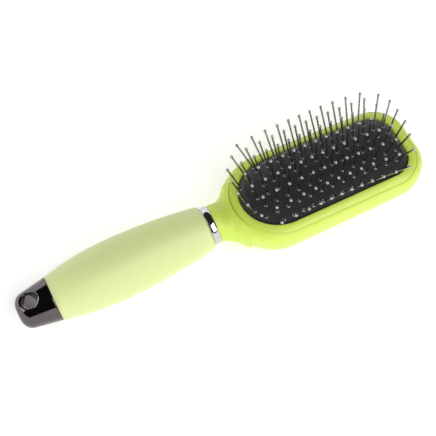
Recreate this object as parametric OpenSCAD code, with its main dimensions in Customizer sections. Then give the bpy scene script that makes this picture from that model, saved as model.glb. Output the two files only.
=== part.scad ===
// Cushion pin brush for grooming a pet, lying on its back with the pins up.
// +X runs from the end cap to the tip of the head, +Z points out of the pins.
// The origin is under the middle of the brush, on the surface that it lies on.

/* [Overall] */
// Length from the end cap to the tip of the head
brush_length = 225; // [215:1:235]
// Angle that the handle falls away from the plane of the head
handle_droop = 3.2; // [2.9:0.1:3.3]

/* [Head] */
// Width across the head
head_width = 53.8; // [53:0.2:56]
// Width across the head near its tip
head_tip_width = 50.6; // [50:0.2:52]
// Depth from the front frame to the flat back
head_depth = 26; // [26:0.5:28]
// Width of the cushion opening at its round end
opening_width = 41.2; // [41:0.2:41.6]
// Width of the cushion opening near the tip of the head
opening_tip_width = 39.4; // [39:0.2:39.6]
// Length of the cushion opening
opening_length = 91.4; // [91:0.2:92]
// Depth of the front frame above the back shell
frame_depth = 3.5; // [3:0.1:4]
// Width of the front frame around the opening
frame_width = 4.6; // [4.4:0.1:4.7]

/* [Cushion] */
// Height of the cushion's crown above the front frame
crown_height = 7.1; // [6.8:0.1:7.4]
// Radius of the cushion across the brush
crown_radius = 36.1; // [35.8:0.1:36.8]
// Radius of the cushion along the brush
length_radius = 288; // [240:1:340]
// Thickness of the woven facing
cloth_thickness = 0.8; // [0.6:0.1:1]
// Thickness of the rubber pad
pad_thickness = 2.2; // [1.8:0.1:2.6]

/* [Pins] */
// Angle between neighbouring rows, seen along the brush
row_step = 8.48; // [8.3:0.02:8.5]
// Diameter of the pin wire
wire_d = 1.0; // [0.8:0.05:1.1]
// Diameter of the ball tip
ball_d = 1.7; // [1.4:0.1:2]
// Length of a pin outside the cushion
pin_length = 17.3; // [16.5:0.1:18]
// Diameter of the flat head under the pad
pin_head_d = 2.4; // [2:0.1:3]
// Angle that the last pin of a row leans outwards along the brush
end_lean = 18; // [0:1:20]

/* [Handle] */
// Length of the collar ring
collar_length = 4; // [3.5:0.5:4.5]
// Length of the end cap
cap_length = 19.5; // [19:0.5:20.5]
// Largest diameter of the gel sleeve
belly_d = 32.4; // [31:0.1:32.4]
// Diameter of the gel sleeve behind the collar
sleeve_front_d = 23.6; // [23:0.2:24.4]
// Diameter of the gel sleeve at the end cap
sleeve_end_d = 24.2; // [23.6:0.2:24.6]
// Diameter of the plastic core inside the sleeve
core_d = 15; // [13:0.5:16]
// Diameter of the neck at the collar
neck_d = 20.4; // [19:0.2:21]
// Depth of the handle's axis under the front frame at the collar
neck_drop = 6.2; // [5.8:0.1:6.3]
// Diameter of the hanging hole
hole_d = 8.5; // [7:0.5:9]

/* [Hidden] */

$fn = 64;
fine_fn = 96;
head_fn = 48;
wire_fn = 24;
eps = 0.01;
far = 400;

lime = "#d9e67a";
gel = "#dbe5a8";
plated = "#3a3438";
steel = "#8c8a8c";

// Head outline: one round end by the neck and two round corners at the tip
tip_reach = 53.7;
tip_corner_r = 17.6;
opening_corner_r = 11.8;
widest_drop = 5.5;
front_round = 6.3;
back_round = 14;
shell_wall = 2.8;
seam_step = 0.25;
seam_gap = 0.1;
arc_steps = 8;

pad_x = brush_length / 2 - tip_reach;
rim_z = head_depth;
head_r = head_width / 2;
opening_r = opening_width / 2;
opening_tip_y = opening_tip_width / 2 - opening_corner_r;
opening_tip_x = opening_length / 2 - opening_corner_r;
opening_round_x = opening_r - opening_length / 2;
head_round_x = -27.8;
head_tip_x = tip_reach - tip_corner_r;
head_tip_y = head_tip_width / 2 - tip_corner_r;

// Clamped edge of the pad, and the tongue that locates the frame in the shell
flange_width = 2.4;
flange_thickness = 1.5;
flange_gap = 0.05;
tongue_start = 3.1;
tongue_width = 0.9;
tongue_depth = 2;
tongue_gap = 0.08;

// Cushion shells
opening_gap = 0.15;
glue_gap = 0.05;
crown_axis_z = crown_height - crown_radius;
crown_slices = 14;

// Pins
rows = 8;
row_start = [-30.3, -38, -41.8, -43.6, -43.6, -42.2, -36.5, -30.3];
row_end = [31.5, 37.5, 39.5, 41, 41, 41, 38.5, 31.5];
row_count = [12, 13, 14, 15, 15, 15, 13, 11];
hole_gap = 0.03;
hole_reach = 5;
head_gap = 0.1;
pin_head_thickness = 0.6;
pin_sunk = cloth_thickness + glue_gap + pad_thickness + head_gap;

// Handle
core_gap = 0.05;
spigot_length = 5;
spigot_d = 12;
belly_share = 0.6;
belly_steps = 20;
sleeve_edge = 1.2;
collar_crown = 0.5;
cap_end_d = 19.2;
cap_round = 5;
hole_from_end = 7.6;
collar_reach = 62.2;
neck_reach = 12.5;
neck_lead = 1;
neck_fillet = 15.5;
neck_steps = 8;
neck_points = 48;
neck_top_fall = 4.5;
neck_back_fall = 4.5;

cap_face_r = cap_end_d / 2 - cap_round;
handle_x = pad_x - collar_reach;
handle_z = rim_z - neck_drop;
handle_reach = handle_x + brush_length / 2;
handle_length = (handle_reach - cap_face_r * sin(handle_droop)) / cos(handle_droop);
sleeve_length = handle_length - collar_length - cap_length;
belly_at = belly_share * sleeve_length;
hole_x = -brush_length / 2 + hole_from_end;

// ---------- shared frames and outlines ----------

// Puts its children at the middle of the cushion, in the plane of the front frame
module at_pad() {
    translate([pad_x, 0, rim_z]) children();
}

// Turns +Z into the handle's axis, running from the collar towards the end cap
module along_handle() {
    translate([handle_x, 0, handle_z])
        rotate([0, -(90 + handle_droop), 0])
            children();
}

// Outline of the cushion opening, moved outwards by grow
module opening_outline(grow = 0) {
    hull() {
        translate([opening_round_x, 0]) circle(r = opening_r + grow);
        for (side = [-1, 1])
            translate([opening_tip_x, side * opening_tip_y]) circle(r = opening_corner_r + grow);
    }
}

// Prism of the opening's outline between two heights
module opening_prism(low, high, grow = 0) {
    translate([0, 0, low])
        linear_extrude(high - low)
            opening_outline(grow);
}

// Half section of the rounded head for one corner radius
function head_section(r) = concat(
    [[0, 0]],
    [for (i = [0:arc_steps])
        let (t = 90 * i / arc_steps)
        [r - front_round * (1 - sin(t)), -widest_drop * (1 - cos(t))]],
    [for (i = [1:arc_steps])
        let (t = 90 * i / arc_steps)
        [r - back_round * (1 - cos(t)), -widest_drop - (head_depth - widest_drop) * sin(t)]],
    [[0, -head_depth]]
);

// One rounded corner of the head, cut back by inset
module head_corner(r, inset) {
    rotate_extrude($fn = head_fn)
        intersection() {
            polygon([for (p = head_section(r)) [max(0, p.x - inset), p.y]]);
            translate([0, inset - head_depth]) square([r - inset, head_depth]);
        }
}

// Rounded body of the head, from the front plane to the flat back
module head_body(inset = 0) {
    hull() {
        translate([head_round_x, 0, 0]) head_corner(head_r, inset);
        for (side = [-1, 1])
            translate([head_tip_x, side * head_tip_y, 0]) head_corner(tip_corner_r, inset);
    }
}

// ---------- head ----------

// Ring of the neck at a distance along it: widens in an arc, falls to the head above and below.
// The first ring lies behind the collar's face, where the neck is cut square to the handle.
function neck_ring(i) =
    let (
        dx = i == 0 ? -neck_lead : neck_reach * i / neck_steps,
        blend = (1 - cos(180 * i / neck_steps)) / 2,
        widen = neck_fillet - sqrt(neck_fillet ^ 2 - max(0, dx) ^ 2),
        half_width = neck_d / 2 + widen,
        top = handle_z + neck_d / 2 - neck_top_fall * blend,
        bottom = handle_z - neck_d / 2 - neck_back_fall * blend,
        middle = (top + bottom) / 2,
        half_height = (top - bottom) / 2
    )
    [for (j = [0:neck_points - 1])
        let (a = 360 * j / neck_points)
        [handle_x + dx, half_width * cos(a), middle + half_height * sin(a)]];

// Flared neck between the collar and the head
module neck() {
    rings = [for (i = [0:neck_steps]) neck_ring(i)];
    walls = [for (i = [0:neck_steps - 1], j = [0:neck_points - 1])
        let (
            a = i * neck_points + j,
            b = i * neck_points + (j + 1) % neck_points
        )
        [a, a + neck_points, b + neck_points, b]];
    first = [for (j = [0:neck_points - 1]) j];
    last = [for (j = [neck_points - 1:-1:0]) neck_steps * neck_points + j];
    polyhedron([for (ring = rings) each ring], concat(walls, [first, last]), convexity = 4);
}

// Air chamber under the cushion
module air_chamber() {
    intersection() {
        head_body(shell_wall);
        opening_prism(-head_depth, -frame_depth, 0);
    }
}

// Back shell of the head with the neck and the core that runs through the handle
module head_shell() {
    color(lime) {
        at_pad()
            difference() {
                head_body();
                opening_prism(-frame_depth, far, frame_width + seam_gap);
                air_chamber();
                opening_prism(-frame_depth - flange_thickness, 0, flange_width + flange_gap);
                difference() {
                    opening_prism(-frame_depth - tongue_depth - tongue_gap, 0,
                        tongue_start + tongue_width + tongue_gap);
                    opening_prism(-far, far, tongue_start - tongue_gap);
                }
            }
        difference() {
            neck();
            along_handle() translate([-far / 2, -far / 2, 0]) cube(far);
            at_pad() opening_prism(-head_depth, far, tongue_start + tongue_width + tongue_gap);
            at_pad() opening_prism(-frame_depth, far, frame_width + seam_gap);
        }
        along_handle() {
            translate([0, 0, -eps]) cylinder(d = core_d, h = handle_length - cap_length + eps);
            cylinder(d = spigot_d, h = handle_length - cap_length + spigot_length);
        }
    }
}

// Front frame that holds the cushion's edge down
module front_frame() {
    color(lime)
        at_pad()
            difference() {
                union() {
                    intersection() {
                        head_body(seam_step);
                        opening_prism(-frame_depth, far, frame_width);
                    }
                    opening_prism(-frame_depth - tongue_depth, -frame_depth + eps,
                        tongue_start + tongue_width);
                }
                opening_prism(-far, -frame_depth, tongue_start);
                opening_prism(-far, far);
            }
}

// ---------- cushion ----------

// Radius of the cushion's crown at a place along it
function crown_r(x) = crown_radius - (length_radius - sqrt(length_radius ^ 2 - x ^ 2));

// Height of the cushion's crown over a place
function crown_z(x, y) = crown_axis_z + sqrt(crown_r(x) ^ 2 - y ^ 2);

// Points along the crown's half section, sunk by depth
function crown_line(depth) =
    let (reach = opening_length / 2 + flange_width)
    [for (i = [0:crown_slices])
        let (x = reach * (2 * i / crown_slices - 1))
        [crown_r(x) - depth, x]];

// Turns a half section around the crown's axis, which runs along the brush
module around_crown() {
    translate([0, 0, crown_axis_z])
        rotate([0, 90, 0])
            rotate_extrude($fn = fine_fn)
                children();
}

// Curved layer of the cushion between two depths under the crown
module crown_layer(top, bottom) {
    lower = crown_line(bottom);
    around_crown()
        polygon(concat(crown_line(top), [for (i = [crown_slices:-1:0]) lower[i]]));
}

// Everything under the crown, sunk by depth
module crown_barrel(depth) {
    line = crown_line(depth);
    around_crown()
        polygon(concat([[0, line[0].y]], line, [[0, line[crown_slices].y]]));
}

// Holes for every pin, with room for the flat heads under the pad
module pin_holes() {
    pocket_d = pin_head_d + 2 * head_gap;
    pocket_depth = hole_reach - pin_sunk + head_gap;
    for (row = [1:rows], i = [0:row_count[row - 1] - 1])
        at_pin(row, i)
            translate([0, 0, -hole_reach]) {
                cylinder(d = wire_d + 2 * hole_gap, h = 2 * hole_reach, $fn = wire_fn);
                cylinder(d = pocket_d, h = pocket_depth, $fn = wire_fn);
            }
}

// Woven facing over the pad
module cushion_cloth() {
    color("#2c2a30")
        at_pad()
            difference() {
                intersection() {
                    crown_layer(0, cloth_thickness);
                    opening_prism(-frame_depth, far, -opening_gap);
                }
                pin_holes();
            }
}

// Rubber pad: curved top, side wall, and the flat edge that the frame clamps
module cushion_pad() {
    top = cloth_thickness + glue_gap;
    low = -frame_depth - flange_thickness + flange_gap;
    color("#1c1b1e")
        at_pad()
            difference() {
                union() {
                    intersection() {
                        crown_layer(top, top + pad_thickness);
                        opening_prism(low, far, -opening_gap);
                    }
                    intersection() {
                        crown_barrel(top);
                        difference() {
                            opening_prism(low, far, -opening_gap);
                            opening_prism(-far, far, -opening_gap - pad_thickness);
                        }
                    }
                    difference() {
                        opening_prism(low, -frame_depth - flange_gap, flange_width);
                        opening_prism(-far, far, -opening_gap - pad_thickness);
                    }
                }
                pin_holes();
            }
}

// ---------- pins ----------

// Distance of a row from the middle of the brush
function row_y(row) = crown_radius * sin(row_step * (row - (rows + 1) / 2));

// Place of a pin along its row
function pin_x(row, i) =
    let (
        first = row_start[row - 1],
        last = row_end[row - 1]
    )
    first + (last - first) * i / (row_count[row - 1] - 1);

// Lean of a pin along its row: upright in the middle, outwards at both ends
function row_lean(row, x) =
    let (
        first = row_start[row - 1],
        last = row_end[row - 1],
        share = (2 * x - first - last) / (last - first)
    )
    end_lean * share ^ 3;

// Puts its children on the crown at one pin, with +Z along the pin
module at_pin(row, i) {
    x = pin_x(row, i);
    y = row_y(row);
    translate([x, y, crown_z(x, y)])
        rotate([-asin(y / crown_r(x)), 0, 0])
            rotate([0, row_lean(row, x), 0])
                children();
}

// One pin: flat head under the pad, straight wire, ball tip
module pin() {
    translate([0, 0, -pin_sunk - pin_head_thickness])
        cylinder(d = pin_head_d, h = pin_head_thickness, $fn = wire_fn);
    translate([0, 0, -pin_sunk - pin_head_thickness / 2])
        cylinder(d = wire_d, h = pin_sunk + pin_head_thickness / 2 + pin_length - ball_d / 2, $fn = wire_fn);
    translate([0, 0, pin_length - ball_d / 2]) sphere(d = ball_d, $fn = wire_fn);
}

// One row of pins, each a separate solid
module pin_row(row) {
    color(steel)
        at_pad()
            for (i = [0:row_count[row - 1] - 1])
                at_pin(row, i) pin();
}

// ---------- handle ----------

// Radius of the gel sleeve at a distance behind the collar
function sleeve_r(s) =
    let (
        end_d = s < belly_at ? sleeve_front_d : sleeve_end_d,
        run = s < belly_at ? belly_at : sleeve_length - belly_at
    )
    belly_d / 2 - (belly_d - end_d) / 2 * ((s - belly_at) / run) ^ 2;

// Thick gel grip around the core
module gel_sleeve() {
    color(gel)
        along_handle()
            translate([0, 0, collar_length])
                rotate_extrude($fn = fine_fn)
                    difference() {
                        polygon(concat(
                            [[0, 0], [sleeve_r(0) - sleeve_edge, 0]],
                            [for (i = [0:belly_steps])
                                let (s = sleeve_edge + (sleeve_length - sleeve_edge) * i / belly_steps)
                                [sleeve_r(s), s]],
                            [[0, sleeve_length]]
                        ));
                        translate([0, -eps])
                            square([core_d / 2 + core_gap, sleeve_length + 2 * eps]);
                    }
}

// Plated ring between the neck and the sleeve
module collar_ring() {
    inner = core_d / 2 + core_gap;
    color("#b9b5b8")
        along_handle()
            rotate_extrude($fn = fine_fn)
                polygon([
                    [inner, 0],
                    [neck_d / 2, 0],
                    [neck_d / 2 + collar_crown, collar_length / 4],
                    [neck_d / 2 + collar_crown, collar_length * 3 / 4],
                    [neck_d / 2 + collar_crown / 2, collar_length],
                    [inner, collar_length]
                ]);
}

// Plated cap with the hanging hole straight through it
module end_cap() {
    color(plated)
        difference() {
            along_handle()
                translate([0, 0, collar_length + sleeve_length])
                    rotate_extrude($fn = fine_fn)
                        polygon(concat(
                            [[0, 0], [sleeve_end_d / 2, 0]],
                            [for (i = [0:arc_steps])
                                let (t = 90 * i / arc_steps)
                                [cap_end_d / 2 - cap_round * (1 - cos(t)),
                                    cap_length - cap_round * (1 - sin(t))]],
                            [[0, cap_length]]
                        ));
            along_handle()
                translate([0, 0, collar_length + sleeve_length - eps])
                    cylinder(d = spigot_d + 2 * core_gap, h = spigot_length + core_gap + eps);
            translate([hole_x, 0, -eps]) cylinder(d = hole_d, h = far);
        }
}

head_shell();
front_frame();
collar_ring();
gel_sleeve();
end_cap();
cushion_pad();
cushion_cloth();
pin_row(1);  // pin_row_1
pin_row(2);  // pin_row_2
pin_row(3);  // pin_row_3
pin_row(4);  // pin_row_4
pin_row(5);  // pin_row_5
pin_row(6);  // pin_row_6
pin_row(7);  // pin_row_7
pin_row(8);  // pin_row_8
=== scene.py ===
import math

import bpy
import bmesh
import numpy as np
from mathutils import Matrix, Vector


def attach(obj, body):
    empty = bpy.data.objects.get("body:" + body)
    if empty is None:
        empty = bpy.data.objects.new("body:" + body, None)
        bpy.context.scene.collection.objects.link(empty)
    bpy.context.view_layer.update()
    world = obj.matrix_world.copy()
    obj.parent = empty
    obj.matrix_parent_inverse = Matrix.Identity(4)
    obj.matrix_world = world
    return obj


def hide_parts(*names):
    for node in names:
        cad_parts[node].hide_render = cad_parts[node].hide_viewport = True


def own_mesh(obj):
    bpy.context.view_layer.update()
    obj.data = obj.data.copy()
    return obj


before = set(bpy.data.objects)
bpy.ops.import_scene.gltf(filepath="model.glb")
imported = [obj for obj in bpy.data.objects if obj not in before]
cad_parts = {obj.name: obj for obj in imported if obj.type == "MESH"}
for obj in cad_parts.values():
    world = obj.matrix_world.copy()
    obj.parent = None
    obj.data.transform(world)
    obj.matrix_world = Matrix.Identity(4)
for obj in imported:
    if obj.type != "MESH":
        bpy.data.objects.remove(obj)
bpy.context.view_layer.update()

scene = bpy.context.scene
MM = 0.001

# ---------------------------------------------------------------- sizes, in mm, as in the CAD source

BRUSH_LENGTH = 225.0
DROOP = math.radians(3.2)
HEAD_DEPTH = 26.0
HEAD_R, TIP_R = 26.9, 17.6
ROUND_X, TIP_X, TIP_Y, TIP_END = -27.8, 36.1, 7.7, 53.7
WIDEST, FRONT_ROUND, BACK_ROUND = 5.5, 6.3, 14.0
OPEN_R, OPEN_TIP_R, OPEN_X, OPEN_TIP_X, OPEN_TIP_Y = 20.6, 11.8, -25.1, 33.9, 7.9
FRAME_DEPTH, FRAME_WIDTH, SEAM_GAP, SEAM_STEP = 3.5, 4.6, 0.1, 0.25
CROWN_H, CROWN_R, LENGTH_R = 7.1, 36.1, 288.0
CLOTH, GLUE, PAD, PRESS = 0.8, 0.05, 2.2, 1.5
PAD_X, RIM_Z = BRUSH_LENGTH / 2 - TIP_END, HEAD_DEPTH
COLLAR, CAP = 4.0, 19.5
BELLY_D, SLEEVE_FRONT_D, SLEEVE_END_D, BELLY_SHARE = 32.4, 23.6, 24.2, 0.6
COLLAR_REACH, NECK_D, NECK_DROP, NECK_REACH, NECK_FILLET = 62.2, 20.4, 6.2, 12.5, 15.5
NECK_TOP_FALL, NECK_BACK_FALL, NECK_BLEND = 4.5, 4.5, 4.5
CORE_D, CAP_END_D, CAP_ROUND, HOLE_D, HOLE_FROM_END = 15.0, 19.2, 5.0, 8.5, 7.6
ROWS, ROW_STEP = 8, math.radians(8.48)
ROW_START = [-30.3, -38, -41.8, -43.6, -43.6, -42.2, -36.5, -30.3]
ROW_END = [31.5, 37.5, 39.5, 41, 41, 41, 38.5, 31.5]
ROW_COUNT = [12, 13, 14, 15, 15, 15, 13, 11]
END_LEAN = math.radians(18)

CAP_FACE_R = CAP_END_D / 2 - CAP_ROUND
HANDLE_X = PAD_X - COLLAR_REACH
HANDLE_Z = RIM_Z - NECK_DROP
HANDLE_LENGTH = (HANDLE_X + BRUSH_LENGTH / 2 - CAP_FACE_R * math.sin(DROOP)) / math.cos(DROOP)
SLEEVE = HANDLE_LENGTH - COLLAR - CAP
BELLY_AT = BELLY_SHARE * SLEEVE
HOLE_X = -BRUSH_LENGTH / 2 + HOLE_FROM_END
AXIS = np.array([-math.cos(DROOP), 0.0, -math.sin(DROOP)])
START = np.array([HANDLE_X, 0.0, HANDLE_Z])


# ---------------------------------------------------------------- mesh helpers

def make(name, points, faces, smooth=True):
    """A mesh object from points in mm, in the row frame."""
    mesh = bpy.data.meshes.new(name)
    places = [tuple(p) for p in np.asarray(points, float) * MM]
    mesh.from_pydata(places, [], [tuple(int(i) for i in f) for f in faces])
    mesh.validate()
    if smooth:
        mesh.shade_smooth()
    obj = bpy.data.objects.new(name, mesh)
    scene.collection.objects.link(obj)
    return obj


def ring_faces(rings, count, closed_rings=False, flip=False):
    """Quads that join rings of count points each."""
    out = []
    for i in range(rings if closed_rings else rings - 1):
        a, b = i * count, ((i + 1) % rings) * count
        for j in range(count):
            k = (j + 1) % count
            quad = (a + j, b + j, b + k, a + k)
            out.append(quad[::-1] if flip else quad)
    return out


def outward(obj):
    """Turns the faces of a closed mesh outwards."""
    bm = bmesh.new()
    bm.from_mesh(obj.data)
    bmesh.ops.remove_doubles(bm, verts=bm.verts, dist=1e-7)
    bmesh.ops.recalc_face_normals(bm, faces=bm.faces)
    bm.to_mesh(obj.data)
    bm.free()
    return obj


def sharpen(obj, degrees):
    """Smooth shading with hard edges where faces turn by more than the angle."""
    obj.data.shade_smooth()
    obj.data.set_sharp_from_angle(angle=math.radians(degrees))
    return obj


def apply_modifiers(obj):
    """Replaces the mesh with what its modifiers make of it."""
    graph = bpy.context.evaluated_depsgraph_get()
    mesh = bpy.data.meshes.new_from_object(obj.evaluated_get(graph))
    obj.modifiers.clear()
    old = obj.data
    obj.data = mesh
    bpy.data.meshes.remove(old)
    return obj


def cut(obj, cutter):
    """Takes the cutter out of the object."""
    mod = obj.modifiers.new("cut", "BOOLEAN")
    mod.operation = "DIFFERENCE"
    mod.solver = "EXACT"
    mod.object = cutter
    apply_modifiers(obj)
    bpy.data.objects.remove(cutter)
    return obj


def finish_piece(obj, body, slot, material, *replaced):
    """Gives a piece its material and its body, and hides the CAD nodes that it stands for."""
    obj.data.materials.clear()
    obj.data.materials.append(material)
    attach(obj, body)
    if replaced:
        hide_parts(*replaced)
    return obj


# ---------------------------------------------------------------- shape functions, in mm

def head_distance(x, y):
    """Distance outside the head's outline, negative inside, in the pad's frame."""
    y = np.abs(y)
    span = math.hypot(TIP_X - ROUND_X, TIP_Y)
    turn = math.atan2(TIP_Y, TIP_X - ROUND_X) + math.acos((HEAD_R - TIP_R) / span)
    nx, ny = math.cos(turn), math.sin(turn)
    along = (x - ROUND_X) * ny - y * nx
    back = np.hypot(x - ROUND_X, y) - HEAD_R
    side = (x - ROUND_X) * nx + y * ny - HEAD_R
    corner = np.hypot(x - TIP_X, y - TIP_Y) - TIP_R
    tip = x - TIP_END
    corner_start = (TIP_X - ROUND_X) * ny - TIP_Y * nx
    front = np.where((along > corner_start) & (y > TIP_Y), corner, np.maximum(side, tip))
    return np.where(along < 0, back, front)


def head_top(x, y, inset=0.0):
    """Height of the head's front over a place, in the pad's frame."""
    d = np.clip(-head_distance(x, y) - inset, 0.0, FRONT_ROUND)
    return -WIDEST * (1 - np.sqrt(np.clip(1 - ((FRONT_ROUND - d) / FRONT_ROUND) ** 2, 0, 1)))


def smooth_min(a, b, k):
    h = np.maximum(k - np.abs(a - b), 0.0) / k
    return np.minimum(a, b) - h * h * k / 4


def smooth_max(a, b, k):
    return -smooth_min(-a, -b, k)


def head_field(p):
    """Negative inside the head with its neck, in the pad's frame."""
    x, y, z = p[..., 0], p[..., 1], p[..., 2]
    inset = -head_distance(x, y)
    back_depth = HEAD_DEPTH - WIDEST
    front = np.hypot(np.maximum(FRONT_ROUND - inset, 0) / FRONT_ROUND, np.maximum(z + WIDEST, 0) / WIDEST)
    back = np.hypot(np.maximum(BACK_ROUND - inset, 0) / BACK_ROUND, np.maximum(-z - WIDEST, 0) / back_depth)
    head = np.where(z > -WIDEST, (front - 1) * FRONT_ROUND, (back - 1) * BACK_ROUND)
    dx = x + PAD_X - HANDLE_X
    fall = (1 - np.cos(np.pi * np.clip(dx / NECK_REACH, 0, 1))) / 2
    widen = NECK_FILLET - np.sqrt(np.maximum(NECK_FILLET ** 2 - np.clip(dx, 0, NECK_REACH + 1.0) ** 2, 0.0))
    half_width = NECK_D / 2 + widen
    top = -NECK_DROP + NECK_D / 2 - NECK_TOP_FALL * fall
    bottom = -NECK_DROP - NECK_D / 2 - NECK_BACK_FALL * fall
    half_height = (top - bottom) / 2
    neck = (np.hypot(y / half_width, (z - (top + bottom) / 2) / half_height) - 1) * half_height
    neck = np.maximum(neck, dx - NECK_REACH)
    return smooth_min(head, neck, NECK_BLEND)


def surface_hits(field, origins, directions, reach):
    """Where rays from inside a body leave it."""
    low = np.zeros(len(origins))
    high = np.full(len(origins), reach)
    for _ in range(36):
        mid = (low + high) / 2
        inside = field(origins + directions * mid[:, None]) < 0
        low = np.where(inside, mid, low)
        high = np.where(inside, high, mid)
    return origins + directions * ((low + high) / 2)[:, None]


def opening_loop(grow, count):
    """Points round the cushion opening, moved outwards, and their outward directions.

    They are evenly spaced on the outline before it is moved.
    """
    slope = math.acos((OPEN_R - OPEN_TIP_R) / math.hypot(OPEN_TIP_X - OPEN_X, OPEN_TIP_Y))
    base = math.atan2(OPEN_TIP_Y, OPEN_TIP_X - OPEN_X) + slope
    big = np.linspace(base, 2 * math.pi - base, 400)
    low_corner = np.linspace(-base, 0, 160)
    high_corner = np.linspace(0, base, 160)
    parts = [
        (OPEN_X, 0.0, OPEN_R, big),
        (OPEN_TIP_X, -OPEN_TIP_Y, OPEN_TIP_R, low_corner),
        (OPEN_TIP_X, OPEN_TIP_Y, OPEN_TIP_R, high_corner),
    ]
    pts = np.concatenate([np.stack([cx + r * np.cos(a), cy + r * np.sin(a)], 1) for cx, cy, r, a in parts])
    nrm = np.concatenate([np.stack([np.cos(a), np.sin(a)], 1) for _, _, _, a in parts])
    closed = np.vstack([pts, pts[:1]])
    step = np.hypot(*np.diff(closed, axis=0).T)
    along = np.concatenate([[0], np.cumsum(step)])
    want = np.linspace(0, along[-1], count, endpoint=False)
    out = np.stack([np.interp(want, along, closed[:, i]) for i in (0, 1)], 1)
    turned = np.vstack([nrm, nrm[:1]])
    normal = np.stack([np.interp(want, along, turned[:, i]) for i in (0, 1)], 1)
    normal /= np.linalg.norm(normal, axis=1)[:, None]
    return out + normal * grow, normal


def crown_r(x):
    return CROWN_R - (LENGTH_R - np.sqrt(LENGTH_R ** 2 - x ** 2))


def crown_z(x, y):
    return CROWN_H - CROWN_R + np.sqrt(np.maximum(crown_r(x) ** 2 - y ** 2, 0))


def row_y(row):
    return CROWN_R * math.sin(ROW_STEP * (row - (ROWS + 1) / 2))


def pin_places():
    """Root and direction of every pin, in the pad's frame."""
    out = []
    for row in range(1, ROWS + 1):
        for i in range(ROW_COUNT[row - 1]):
            first, last = ROW_START[row - 1], ROW_END[row - 1]
            x = first + (last - first) * i / (ROW_COUNT[row - 1] - 1)
            y = row_y(row)
            r = crown_r(x)
            along = END_LEAN * ((2 * x - first - last) / (last - first)) ** 3
            lean = (math.sin(along), math.cos(along) * y / r, math.cos(along) * math.sqrt(1 - (y / r) ** 2))
            out.append((row, np.array([x, y, crown_z(x, y)]), np.array(lean)))
    return out


def sleeve_r(s):
    end = np.where(s < BELLY_AT, SLEEVE_FRONT_D, SLEEVE_END_D)
    run = np.where(s < BELLY_AT, BELLY_AT, SLEEVE - BELLY_AT)
    return BELLY_D / 2 - (BELLY_D - end) / 2 * ((s - BELLY_AT) / run) ** 2


def pad_frame(points):
    """From the pad's frame to the row frame."""
    return np.asarray(points, float) + np.array([PAD_X, 0, RIM_Z])


# ---------------------------------------------------------------- node material helpers

class Nodes:
    """A small builder for one material's node tree."""

    def __init__(self, name):
        self.material = bpy.data.materials.new(name)
        self.material.use_nodes = True
        self.tree = self.material.node_tree
        self.bsdf = next(n for n in self.tree.nodes if n.type == "BSDF_PRINCIPLED")
        self.coord = self.tree.nodes.new("ShaderNodeTexCoord").outputs["Object"]

    def add(self, kind, **values):
        node = self.tree.nodes.new(kind)
        for key, value in values.items():
            if hasattr(node, key):
                setattr(node, key, value)
            else:
                node.inputs[key].default_value = value
        return node

    def link(self, a, b):
        self.tree.links.new(a, b)

    def math(self, operation, a, b=None, clamp=False):
        node = self.tree.nodes.new("ShaderNodeMath")
        node.operation, node.use_clamp = operation, clamp
        for i, value in enumerate((a, b)):
            if value is None:
                continue
            if isinstance(value, (int, float)):
                node.inputs[i].default_value = value
            else:
                self.link(value, node.inputs[i])
        return node.outputs[0]

    def noise(self, scale, detail=3.0, roughness=0.5, stretch=None):
        node = self.add("ShaderNodeTexNoise", Scale=scale, Detail=detail, Roughness=roughness)
        source = self.coord
        if stretch is not None:
            mapping = self.add("ShaderNodeMapping")
            mapping.inputs["Scale"].default_value = stretch
            self.link(self.coord, mapping.inputs["Vector"])
            source = mapping.outputs[0]
        self.link(source, node.inputs["Vector"])
        return node.outputs["Fac"]

    def ramp(self, value, low, high, a, b):
        node = self.add("ShaderNodeMapRange")
        node.clamp = True
        for key, v in (("From Min", low), ("From Max", high), ("To Min", a), ("To Max", b)):
            node.inputs[key].default_value = v
        self.link(value, node.inputs["Value"])
        return node.outputs[0]

    def mix(self, factor, a, b):
        node = self.add("ShaderNodeMix")
        node.data_type = "RGBA"
        self.link(factor, node.inputs["Factor"])
        for slot, value in (("A", a), ("B", b)):
            socket = [s for s in node.inputs if s.name == slot and s.type == "RGBA"][0]
            if isinstance(value, tuple):
                socket.default_value = (*value, 1)
            else:
                self.link(value, socket)
        return [s for s in node.outputs if s.type == "RGBA"][0]

    def bump(self, height, distance, strength=1.0, after=None):
        node = self.add("ShaderNodeBump", Strength=strength, Distance=distance)
        self.link(height, node.inputs["Height"])
        if after is not None:
            self.link(after, node.inputs["Normal"])
        return node.outputs["Normal"]

    def set(self, **values):
        for key, value in values.items():
            self.bsdf.inputs[key.replace("_", " ")].default_value = value
        return self


def lime_plastic():
    n = Nodes("lime_plastic")
    cloud = n.noise(18, 3)
    fine = n.noise(900, 2)
    spots = n.noise(160, 4, 0.6)
    color = n.mix(n.ramp(cloud, 0.3, 0.7, 0, 1), (0.600, 0.760, 0.098), (0.630, 0.790, 0.120))
    color = n.mix(n.ramp(spots, 0.62, 0.78, 0, 0.35), color, (0.66, 0.80, 0.17))
    n.link(color, n.bsdf.inputs["Base Color"])
    n.link(n.ramp(spots, 0.3, 0.7, 0.34, 0.42), n.bsdf.inputs["Roughness"])
    n.link(n.bump(fine, 0.00004, 0.5), n.bsdf.inputs["Normal"])
    n.set(Subsurface_Weight=0.25, Subsurface_Scale=0.0015, Coat_Weight=0.0)
    n.bsdf.inputs["Subsurface Radius"].default_value = (1.0, 1.2, 0.3)
    return n.material


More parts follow.
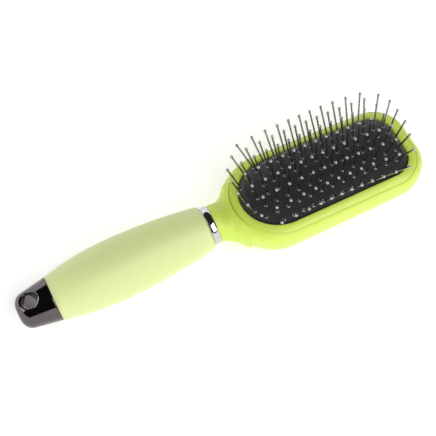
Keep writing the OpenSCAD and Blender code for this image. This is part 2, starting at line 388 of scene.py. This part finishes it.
def gel():
    n = Nodes("gel")
    cloud = n.noise(22, 3)
    streak = n.noise(60, 3, 0.55, (0.25, 1, 1))
    fine = n.noise(1200, 2)
    color = n.mix(n.ramp(cloud, 0.3, 0.7, 0, 1), (0.675, 0.745, 0.335), (0.705, 0.765, 0.375))
    color = n.mix(n.ramp(streak, 0.55, 0.8, 0, 0.3), color, (0.74, 0.79, 0.45))
    n.link(color, n.bsdf.inputs["Base Color"])
    n.link(n.ramp(streak, 0.3, 0.7, 0.40, 0.50), n.bsdf.inputs["Roughness"])
    n.link(n.bump(fine, 0.00005, 0.5), n.bsdf.inputs["Normal"])
    n.set(Subsurface_Weight=0.7, Subsurface_Scale=0.004, Sheen_Weight=0.15, Sheen_Roughness=0.4)
    n.bsdf.inputs["Subsurface Radius"].default_value = (1.0, 1.1, 0.5)
    return n.material


def metal(name, color, low, high, worn, scratch=0.15):
    """A plated or drawn metal with faint scratches and a little haze."""
    n = Nodes(name)
    haze = n.noise(70, 4, 0.6)
    lines = n.noise(420, 2, 0.5, (0.06, 1, 1))
    n.link(n.mix(n.ramp(haze, 0.35, 0.7, 0, 1), color, worn), n.bsdf.inputs["Base Color"])
    n.link(n.ramp(haze, 0.3, 0.75, low, high), n.bsdf.inputs["Roughness"])
    n.link(n.bump(lines, 0.000006, scratch), n.bsdf.inputs["Normal"])
    n.set(Metallic=1.0)
    return n.material


THREAD_PERIOD = 0.0015


def woven_cloth():
    n = Nodes("woven_cloth")
    split = n.add("ShaderNodeSeparateXYZ")
    n.link(n.coord, split.inputs[0])
    turn = 2 * math.pi / THREAD_PERIOD
    u = n.math("MULTIPLY", split.outputs[0], turn)
    v = n.math("MULTIPLY", split.outputs[1], turn)
    su, sv = n.math("SINE", u), n.math("SINE", v)
    checks = n.math("MULTIPLY", su, sv)
    warp = n.math("ABSOLUTE", sv)
    weft = n.math("ABSOLUTE", su)
    over = n.ramp(checks, -0.25, 0.25, 0, 1)
    blend = n.add("ShaderNodeMix")
    n.link(over, blend.inputs["Factor"])
    n.link(warp, blend.inputs["A"])
    n.link(weft, blend.inputs["B"])
    height = blend.outputs[0]
    fuzz = n.noise(2600, 2)
    patch = n.noise(60, 3)
    # painted light and shade: raised threads painted lighter and the gaps between them darker, following
    # the weave's height
    painted_thread_light = n.ramp(n.math("MULTIPLY", height, n.ramp(checks, -0.4, 0.6, 0.2, 1)), 0.35, 0.95, 0, 1)
    color = n.mix(painted_thread_light, (0.0072, 0.0068, 0.009), (0.050, 0.047, 0.059))
    color = n.mix(n.ramp(patch, 0.45, 0.75, 0, 0.35), color, (0.024, 0.022, 0.028))
    n.link(color, n.bsdf.inputs["Base Color"])
    n.link(n.ramp(height, 0, 1, 0.85, 0.6), n.bsdf.inputs["Roughness"])
    first = n.bump(height, 0.00016, 0.9)
    n.link(n.bump(fuzz, 0.00004, 0.6, first), n.bsdf.inputs["Normal"])
    n.set(Sheen_Weight=0.25, Sheen_Roughness=0.45, Specular_IOR_Level=0.3)
    return n.material


def rubber():
    n = Nodes("pad_rubber")
    cloud = n.noise(120, 3)
    color = n.mix(n.ramp(cloud, 0.3, 0.7, 0, 1), (0.012, 0.011, 0.013), (0.020, 0.019, 0.021))
    n.link(color, n.bsdf.inputs["Base Color"])
    n.link(n.ramp(cloud, 0.3, 0.7, 0.55, 0.7), n.bsdf.inputs["Roughness"])
    n.link(n.bump(n.noise(1500, 2), 0.00004, 0.5), n.bsdf.inputs["Normal"])
    return n.material


LIME = lime_plastic()
GEL = gel()
COLLAR_METAL = metal("plating", (0.60, 0.58, 0.60), 0.05, 0.10, (0.55, 0.53, 0.55))
CAP_METAL = metal("dark_plating", (0.125, 0.112, 0.116), 0.05, 0.10, (0.112, 0.098, 0.102))
STEEL = metal("pin_steel", (0.46, 0.43, 0.43), 0.14, 0.26, (0.36, 0.33, 0.33), 0.3)
CLOTH_MATERIAL = woven_cloth()
RUBBER = rubber()


# ---------------------------------------------------------------- head shell

NECK_END_X, MID_X = -46.0, -20.0
SPINE_FALL, SPINE_BLEND = 4.0, 22.0
RAY_WIDE, RAY_TALL, RAY_LONG, RAY_REACH = 28.5, 13.0, 18.0, 60.0
COLLAR_OVERRUN = 0.8
SEAT_OUT, SEAT_Z = 2.6, -5.1
CHAMBER_OUT, CHAMBER_WALL_Z, CHAMBER_FLOOR_Z = 0.1, -18.5, -23.0


def shell_ring(origin, rays):
    """Where a fan of rays from one place on the spine leaves the head and neck."""
    rays = rays / np.linalg.norm(rays, axis=1)[:, None]
    return surface_hits(head_field, np.repeat(origin[None], len(rays), 0), rays, RAY_REACH)


def shell_rings(around):
    """Rings of the shell's outside, from behind the collar's face to just short of the tip."""
    theta = np.linspace(0, 2 * math.pi, around, endpoint=False)
    collar_x, neck_r = HANDLE_X - PAD_X, NECK_D / 2
    xs = np.concatenate([
        np.linspace(collar_x - COLLAR_OVERRUN, NECK_END_X, 46),
        np.linspace(NECK_END_X, MID_X, 30)[1:],
        np.linspace(MID_X, TIP_X, 30)[1:],
    ])
    rings = []
    for x in xs:
        share = np.clip((x - collar_x) / SPINE_BLEND, 0, 1)
        share = share * share * (3 - 2 * share)
        wide, tall = neck_r + share * (RAY_WIDE - neck_r), neck_r + share * (RAY_TALL - neck_r)
        rays = np.stack([np.zeros(around), wide * np.cos(theta), tall * np.sin(theta)], 1)
        rings.append(shell_ring(np.array([x, 0, -NECK_DROP - SPINE_FALL * share]), rays))
    for phi in np.linspace(0, math.pi / 2, 44)[1:-1]:
        along, across = math.sin(phi), math.cos(phi)
        rays = np.stack([
            np.full(around, along) * RAY_LONG,
            across * RAY_WIDE * np.cos(theta),
            across * RAY_TALL * np.sin(theta),
        ], 1)
        rings.append(shell_ring(np.array([TIP_X, 0, -NECK_DROP - SPINE_FALL]), rays))
    return rings, xs[0]


def shell_body():
    """The outside of the shell as one blended surface, closed at the tip and cut square at the collar."""
    around = 320
    rings, start_x = shell_rings(around)
    points = np.concatenate(rings)
    faces = ring_faces(len(rings), around)
    pole, butt = len(points), len(points) + 1
    last = (len(rings) - 1) * around
    points = np.vstack([points, [[TIP_END, 0, -NECK_DROP - SPINE_FALL]], [[start_x, 0, -NECK_DROP]]])
    faces += [(last + j, pole, last + (j + 1) % around) for j in range(around)]
    faces += [(j, (j + 1) % around, butt) for j in range(around)]
    shell = outward(make("shell", pad_frame(points), faces))
    bm = bmesh.new()
    bm.from_mesh(shell.data)
    bmesh.ops.bisect_plane(
        bm, geom=bm.verts[:] + bm.edges[:] + bm.faces[:],
        plane_co=Vector(START + AXIS * -0.01) * MM, plane_no=Vector(AXIS), clear_outer=True,
    )
    rim = [e for e in bm.edges if e.is_boundary]
    bmesh.ops.contextual_create(bm, geom=rim)
    bm.to_mesh(shell.data)
    bm.free()
    return shell


def shell_cutter():
    """What comes out of the shell: the frame's bevelled pocket, the pad's seat and the air chamber."""
    loop = 480
    pocket = FRAME_WIDTH + SEAM_GAP
    # Height, distance outside the opening, and whether the height follows the front of the head
    steps = [
        (8.0, FRAME_WIDTH + 0.9, False),
        (0.35, FRAME_WIDTH + 0.55, True),
        (-0.12, pocket, True),
        (-FRAME_DEPTH, pocket, False),
        (-FRAME_DEPTH, SEAT_OUT, False),
        (SEAT_Z, SEAT_OUT, False),
        (SEAT_Z, CHAMBER_OUT, False),
        (CHAMBER_WALL_Z, CHAMBER_OUT, False),
        (-21.5, -1.2, False),
        (CHAMBER_FLOOR_Z, -4.5, False),
    ]
    edge, _ = opening_loop(pocket, loop)
    levels = []
    for height, grow, follows in steps:
        xy, _ = opening_loop(grow, loop)
        z = np.full(loop, height)
        if follows:
            z = np.maximum(head_top(edge[:, 0], edge[:, 1]) + height, -FRAME_DEPTH + 0.02 + max(height, 0))
        levels.append(np.column_stack([xy, z]))
    faces = ring_faces(len(levels), loop)
    faces += [tuple(range(loop)), tuple(range((len(levels) - 1) * loop, len(levels) * loop))]
    return outward(make("cutter", pad_frame(np.concatenate(levels)), faces))


def head_shell():
    """Back shell of the head with the neck."""
    shell = shell_body()
    cut(shell, shell_cutter())
    sharpen(shell, 32)
    return finish_piece(shell, "brush", "lime_plastic", LIME, "head_shell")


# ---------------------------------------------------------------- front frame

def front_frame():
    """Round the cushion: a rounded lip at the opening, a front that follows the head, a fine seam."""
    loop = 560
    edge_round, lip, wall_top, foot = 0.22, 0.9, -2.4, 2.5
    # Distance outside the opening, whether the height is a level or follows the front, and that height
    profile = [(0.0, "z", -FRAME_DEPTH), (0.0, "z", wall_top)]
    for a in np.linspace(0, math.pi / 2, 9):
        profile.append((lip * (1 - math.cos(a)), "top", -lip * (1 - math.sin(a))))
    for u in (1.3, 1.8, 2.3, 2.9, 3.5, 4.1):
        profile.append((u, "top", 0.0))
    for a in np.linspace(math.pi / 2, 0, 6):
        out, down = edge_round * (1 - math.cos(a)), edge_round * (1 - math.sin(a))
        profile.append((FRAME_WIDTH - out, "top", -down))
    profile += [(FRAME_WIDTH, "z", -FRAME_DEPTH), (foot, "z", -FRAME_DEPTH)]
    rings = []
    for u, kind, value in profile:
        xy, _ = opening_loop(u, loop)
        if kind == "z":
            z = np.full(loop, value)
        else:
            z = np.maximum(head_top(xy[:, 0], xy[:, 1], SEAM_STEP) + value, -FRAME_DEPTH + 0.05 + 0.001 * u)
        rings.append(np.column_stack([xy, z]))
    ring = outward(make("frame_ring", pad_frame(np.concatenate(rings)), ring_faces(len(rings), loop, True)))
    sharpen(ring, 50)
    return finish_piece(ring, "brush", "lime_plastic", LIME, "front_frame")


# ---------------------------------------------------------------- cushion

EDGE_Z = -3.0
ROLL, ROLL_LEAST, ROLL_GROWTH, ROLL_POWER = 5.5, 2.2, 0.62, 2.6
FACING_GAP, FACING_THICK, FACING_BRIM = 0.15, 0.55, 0.3
PAD_GAP, FLANGE_OUT, FLANGE_TOP, FLANGE_LOW = 0.25, 2.3, -3.6, -4.9


def roll_drop(away, drop):
    """How far the crown has rolled down at a distance inside its edge, where the whole roll is drop."""
    width = np.minimum(ROLL, ROLL_LEAST + drop * ROLL_GROWTH)
    k = np.clip((width - away) / width, 0, 1)
    return drop * (1 - np.sqrt(np.clip(1 - k ** ROLL_POWER, 0, 1)))


def dome(inset, depth, loop, shares):
    """Rings of the cushion's crown, sunk by depth, whose edge rolls down into the opening."""
    edge, _ = opening_loop(-inset, loop)
    spine = np.column_stack([np.clip(edge[:, 0], OPEN_X, OPEN_TIP_X), np.zeros(loop)])
    drop = np.maximum(crown_z(edge[:, 0], edge[:, 1]) - EDGE_Z, 0.5)
    rings = []
    for share in shares:
        xy = spine + (edge - spine) * share
        roll = roll_drop(np.hypot(*(edge - xy).T), drop)
        rings.append(np.column_stack([xy, crown_z(xy[:, 0], xy[:, 1]) - roll - depth]))
    return rings


def flat_ring(grow, height, loop):
    """A level ring round the opening."""
    xy, _ = opening_loop(grow, loop)
    return np.column_stack([xy, np.full(loop, height)])


def closed_layer(name, rings, loop):
    """A closed body from rings, with a face across its first and its last one."""
    last = len(rings) * loop
    faces = ring_faces(len(rings), loop) + [tuple(range(loop)), tuple(range(last - loop, last))]
    return outward(make(name, pad_frame(np.concatenate(rings)), faces))


def cushion():
    """The woven facing and the rubber pad under it."""
    loop = 420
    shares = np.concatenate([np.linspace(0.0, 0.72, 34), 1 - 0.28 * np.linspace(1, 0, 30)[1:] ** 1.5])
    shares[0] = 0.002
    top = dome(FACING_GAP, 0.0, loop, shares)
    brim = top[-1] - np.array([0, 0, FACING_BRIM])
    under = dome(FACING_GAP, FACING_THICK, loop, shares)
    cloth = closed_layer("woven_facing", top + [brim] + under[::-1], loop)
    finish_piece(cloth, "brush", "woven_cloth", CLOTH_MATERIAL, "cushion_cloth")
    top = dome(PAD_GAP, CLOTH + GLUE, loop, shares)
    rim = [
        np.column_stack([top[-1][:, :2], np.full(loop, FLANGE_TOP)]),
        flat_ring(FLANGE_OUT, FLANGE_TOP, loop),
        flat_ring(FLANGE_OUT, FLANGE_LOW, loop),
        flat_ring(-PAD_GAP - PAD, FLANGE_LOW, loop),
    ]
    under = dome(PAD_GAP + PAD, CLOTH + GLUE + PAD, loop, shares)
    for ring in under:
        ring[:, 2] = np.maximum(ring[:, 2], FLANGE_LOW)
    pad = closed_layer("rubber_pad", top + rim + under[::-1], loop)
    finish_piece(pad, "brush", "pad_rubber", RUBBER, "cushion_pad")
    return cloth, pad, sheet_area(loop)


def sheet_area(loop):
    """Area of the opening's outline, in square metres."""
    edge, _ = opening_loop(0.0, loop)
    x, y = edge.T
    return abs(float(np.sum(x * np.roll(y, -1) - np.roll(x, -1) * y)) / 2) * 1e-6


def surface_height(x, y, loop_edge):
    """Height of the cloth over a place."""
    away = np.hypot(loop_edge[:, 0] - x, loop_edge[:, 1] - y)
    near = loop_edge[np.argmin(away)]
    drop = max(float(crown_z(near[0], near[1])) - EDGE_Z, 0.5)
    return float(crown_z(x, y) - roll_drop(np.min(away), drop))


SEAT_R, SEAT_TUBE_R, SEAT_LIFT = 0.74, 0.20, 0.08
SEAT_SIDES, SEAT_SECTION = 20, 8


def seat_points(spot, lean):
    """Points of one small ring round a wire."""
    side = np.cross(lean, [1.0, 0.0, 0.0])
    side /= np.linalg.norm(side)
    front = np.cross(side, lean)
    points = []
    for i in range(SEAT_SIDES):
        a = 2 * math.pi * i / SEAT_SIDES
        radial = side * math.cos(a) + front * math.sin(a)
        for j in range(SEAT_SECTION):
            b = 2 * math.pi * j / SEAT_SECTION
            out, up = SEAT_R + SEAT_TUBE_R * math.cos(b), SEAT_TUBE_R * math.sin(b) + SEAT_LIFT
            points.append(spot + radial * out + lean * up)
    return points


def pin_seats(row):
    """A small pressed lip round every wire of one row, which leans and sinks with the row."""
    edge, _ = opening_loop(-FACING_GAP, 900)
    points, faces = [], []
    for _, root, lean in (place for place in pin_places() if place[0] == row):
        spot = root
        for _ in range(4):
            gap = spot[2] - surface_height(spot[0], spot[1], edge)
            spot = spot - lean * gap / lean[2] * 0.9
        for quad in ring_faces(SEAT_SIDES, SEAT_SECTION, True):
            faces.append(tuple(len(points) + k for k in quad))
        points += seat_points(spot, lean)
    seats = outward(make(f"pin_seats_{row}", pad_frame(points), faces))
    return finish_piece(seats, f"pins_{row}", "pin_steel", STEEL)


# ---------------------------------------------------------------- handle

FIT = 0.05
TURNED = 192


def lathe(profile, count=TURNED):
    """Points turned about the handle's axis from (radius, distance behind the collar's face) pairs."""
    side = np.array([0.0, 1.0, 0.0])
    front = np.cross(AXIS, side)
    angle = np.linspace(0, 2 * math.pi, count, endpoint=False)
    around = np.cos(angle)[:, None] * side + np.sin(angle)[:, None] * front
    return np.concatenate([START + AXIS * s + r * around for r, s in profile])


def turned_piece(name, profile, sharp):
    """A body turned from a closed profile."""
    obj = outward(make(name, lathe(profile), ring_faces(len(profile), TURNED, True)))
    return sharpen(obj, sharp)


def arc(cx, cy, r, start, end, count):
    """Points of an arc in the lathe's half section."""
    a = np.radians(np.linspace(start, end, count))
    return [(cx + r * math.cos(t), cy + r * math.sin(t)) for t in a]


def collar_ring():
    """Plated ring with a faintly crowned band and small rounded edges."""
    inner, outer = CORE_D / 2 + FIT, NECK_D / 2 + 0.5
    gap, round_r, crown = 0.02, 0.35, 0.06
    profile = [(inner, gap)]
    profile += arc(outer - 0.35 - round_r, gap + round_r, round_r, -90, -20, 6)
    profile += [(outer - crown, 0.9), (outer, 1.6), (outer, 2.4), (outer - crown, 3.1)]
    profile += arc(outer - 0.3 - round_r, COLLAR - gap - round_r, round_r, 20, 90, 6)
    profile += [(inner, COLLAR - gap)]
    ring = turned_piece("collar_ring_body", profile, 40)
    return finish_piece(ring, "brush", "plating", COLLAR_METAL, "collar_ring")


def gel_sleeve():
    """Thick grip: barrel shaped, with a full round at the collar and a small one at the cap."""
    inner, edge, tail, gap = CORE_D / 2 + FIT, 1.7, 0.45, 0.03
    s = np.linspace(edge, SLEEVE - tail, 60)
    r = sleeve_r(s)
    front_r = float(sleeve_r(np.array(edge)))
    end_r = float(sleeve_r(np.array(SLEEVE - tail)))
    shoulder = edge * 0.95
    profile = [(inner, gap), (front_r - shoulder, gap)]
    profile += [
        (front_r - shoulder * (1 - math.sin(a)), edge - (edge - gap) * math.cos(a))
        for a in np.linspace(0, math.pi / 2, 12)[1:-1]
    ]
    profile += list(zip(r.tolist(), s.tolist()))
    profile += [
        (end_r - tail * (1 - math.cos(a)), SLEEVE - tail + (tail - gap) * math.sin(a))
        for a in np.linspace(0, math.pi / 2, 7)[1:]
    ]
    profile += [(inner, SLEEVE - gap)]
    sleeve = turned_piece("gel_grip", [(p, q + COLLAR) for p, q in profile], 50)
    return finish_piece(sleeve, "brush", "gel", GEL, "gel_sleeve")


CAP_GAP, HOLE_RIM, SEAM_RIM = 0.03, 1.5, 0.5
CAP_VOXEL, SETTLE_STEP, SETTLE_REACH = 0.36, 0.01, 0.4


def cap_field(p):
    """Negative inside the cap: a tapering round body with a rounded end, and a hole with rounded rims."""
    q = p - START
    s = q @ AXIS - (COLLAR + SLEEVE)
    r = np.linalg.norm(q - np.outer(q @ AXIS, AXIS), axis=1)
    share = s / (CAP - CAP_ROUND)
    wall = SLEEVE_END_D / 2 - (SLEEVE_END_D - CAP_END_D) / 2 * np.clip(share, -0.2, 1.3)
    a, b = r - (wall - CAP_ROUND), s - (CAP - CAP_ROUND)
    body = np.hypot(np.maximum(a, 0), np.maximum(b, 0)) + np.minimum(np.maximum(a, b), 0) - CAP_ROUND
    hole = HOLE_D / 2 - np.hypot(p[:, 0] - HOLE_X, p[:, 1])
    shape = smooth_max(body, hole, HOLE_RIM)
    return smooth_max(shape, CAP_GAP - s, SEAM_RIM)


def cap_blank():
    """A coarse cap with its hole, remeshed evenly."""
    profile = [(0.01, 0.05), (SLEEVE_END_D / 2, 0.05), (CAP_END_D / 2, CAP - CAP_ROUND)]
    profile += arc(CAP_FACE_R, CAP - CAP_ROUND, CAP_ROUND, 12, 84, 8)
    profile += [(0.01, CAP)]
    profile = [(r, s + COLLAR + SLEEVE) for r, s in profile]
    count = 96
    points = lathe(profile, count)
    faces = ring_faces(len(profile), count)
    faces += [tuple(range(count)), tuple(range(len(points) - count, len(points)))]
    cap = outward(make("plated_cap", points, faces))
    sides, hole_r = 64, HOLE_D / 2
    angle = np.linspace(0, 2 * math.pi, sides, endpoint=False)
    post = np.concatenate([
        np.column_stack([HOLE_X + hole_r * np.cos(angle), hole_r * np.sin(angle), np.full(sides, z)])
        for z in (-5.0, 40.0)
    ])
    post_faces = ring_faces(2, sides) + [tuple(range(sides)), tuple(range(sides, 2 * sides))]
    cut(cap, outward(make("post", post, post_faces)))
    mod = cap.modifiers.new("even", "REMESH")
    mod.mode = "VOXEL"
    mod.voxel_size = CAP_VOXEL * MM
    return apply_modifiers(cap)


def end_cap():
    """The cap from its field: every point of an even blank is settled on the surface."""
    cap = cap_blank()
    co = np.zeros(len(cap.data.vertices) * 3)
    cap.data.vertices.foreach_get("co", co)
    co = co.reshape(-1, 3) / MM
    for _ in range(10):
        value = cap_field(co)
        steps = np.eye(3) * SETTLE_STEP
        grad = np.stack([(cap_field(co + d) - cap_field(co - d)) / (2 * SETTLE_STEP) for d in steps], 1)
        size = np.maximum((grad ** 2).sum(1), 0.25)
        co -= np.clip(value, -SETTLE_REACH, SETTLE_REACH)[:, None] * grad / size[:, None]
    cap.data.vertices.foreach_set("co", (co * MM).ravel())
    cap.data.update()
    cap.data.shade_smooth()
    return finish_piece(cap, "brush", "dark_plating", CAP_METAL, "end_cap")


head_shell()
front_frame()
cloth, pad, cloth_area = cushion()
collar_ring()
gel_sleeve()
end_cap()

for row in range(1, ROWS + 1):
    pin_seats(row)
    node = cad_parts[f"pin_row_{row}"]
    node.data.materials.clear()
    node.data.materials.append(STEEL)
    sharpen(node, 40)

for piece in (cloth, pad):
    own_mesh(piece)


# ---------------------------------------------------------------- floor, light and camera

def floor():
    mesh = bpy.data.meshes.new("floor")
    mesh.from_pydata([(-3, -3, 0), (3, -3, 0), (3, 3, 0), (-3, 3, 0)], [], [(0, 1, 2, 3)])
    obj = bpy.data.objects.new("floor", mesh)
    scene.collection.objects.link(obj)
    n = Nodes("floor_white")
    n.set(Base_Color=(0.93, 0.93, 0.93, 1), Roughness=0.9, Specular_IOR_Level=0.0)
    n.bsdf.inputs["Emission Color"].default_value = (1, 1, 1, 1)
    n.bsdf.inputs["Emission Strength"].default_value = 0.4
    mesh.materials.append(n.material)


def towards(azimuth, elevation):
    """Direction from the object to a place round it; azimuth 0 is on the -Y side."""
    level = math.cos(elevation)
    return Vector((math.sin(azimuth) * level, -math.cos(azimuth) * level, math.sin(elevation)))


def area_light(name, azimuth, elevation, distance, width, height, power):
    """A softbox that looks at the middle of the object."""
    data = bpy.data.lights.new(name, "AREA")
    data.shape, data.size, data.size_y, data.energy = "RECTANGLE", width, height, power
    obj = bpy.data.objects.new(name, data)
    back = towards(math.radians(azimuth), math.radians(elevation))
    turn = back.to_track_quat("Z", "Y").to_matrix().to_4x4()
    obj.matrix_world = Matrix.Translation(Vector((0, 0, 0.02)) + back * distance) @ turn
    scene.collection.objects.link(obj)


def studio():
    """White walls low down that reach higher at the back, a dark ceiling, and two softboxes."""
    world = bpy.data.worlds.new("studio")
    scene.world = world
    world.use_nodes = True
    tree = world.node_tree
    tree.nodes.clear()
    coord = tree.nodes.new("ShaderNodeTexCoord")
    split = tree.nodes.new("ShaderNodeSeparateXYZ")
    ramp = tree.nodes.new("ShaderNodeMapRange")
    back = tree.nodes.new("ShaderNodeBackground")
    out = tree.nodes.new("ShaderNodeOutputWorld")
    ramp.interpolation_type = "SMOOTHSTEP"
    for key, value in (("From Min", 0.33), ("From Max", 0.42), ("To Min", 1.62), ("To Max", 0.036)):
        ramp.inputs[key].default_value = value
    tree.links.new(coord.outputs["Generated"], split.inputs[0])
    height = tree.nodes.new("ShaderNodeMath")
    height.operation = "MULTIPLY_ADD"
    height.inputs[1].default_value = -0.2
    tree.links.new(split.outputs[1], height.inputs[0])
    tree.links.new(split.outputs[2], height.inputs[2])
    tree.links.new(height.outputs[0], ramp.inputs["Value"])
    tree.links.new(ramp.outputs[0], back.inputs["Strength"])
    tree.links.new(back.outputs[0], out.inputs["Surface"])
    area_light("front_softbox", azimuth=18, elevation=42, distance=1.1, width=1.0, height=0.9, power=9.6)
    area_light("left_softbox", azimuth=-95, elevation=38, distance=1.2, width=0.7, height=0.6, power=4.8)


CAMERA_PLACE = (-0.10941, -0.30163, 0.55035)
CAMERA_AZIMUTH, CAMERA_ELEVATION, CAMERA_ROLL = -19.861, 58.656, -6.191
CAMERA_LENS = 99.263


def camera():
    """From high over the side of the grip, turned a little about the view."""
    roll = math.radians(CAMERA_ROLL)
    back = towards(math.radians(CAMERA_AZIMUTH), math.radians(CAMERA_ELEVATION))
    right = Vector((math.cos(math.radians(CAMERA_AZIMUTH)), math.sin(math.radians(CAMERA_AZIMUTH)), 0))
    up = back.cross(right)
    side = right * math.cos(roll) + up * math.sin(roll)
    top = -right * math.sin(roll) + up * math.cos(roll)
    data = bpy.data.cameras.new("camera")
    data.sensor_width, data.lens = 36.0, CAMERA_LENS
    data.clip_start, data.clip_end = 0.01, 10
    obj = bpy.data.objects.new("camera", data)
    turn = Matrix((side, top, back)).transposed().to_4x4()
    obj.matrix_world = Matrix.Translation(Vector(CAMERA_PLACE)) @ turn
    scene.collection.objects.link(obj)
    scene.camera = obj


floor()
studio()
camera()
scene.view_settings.view_transform = "Standard"
scene.view_settings.look = "None"
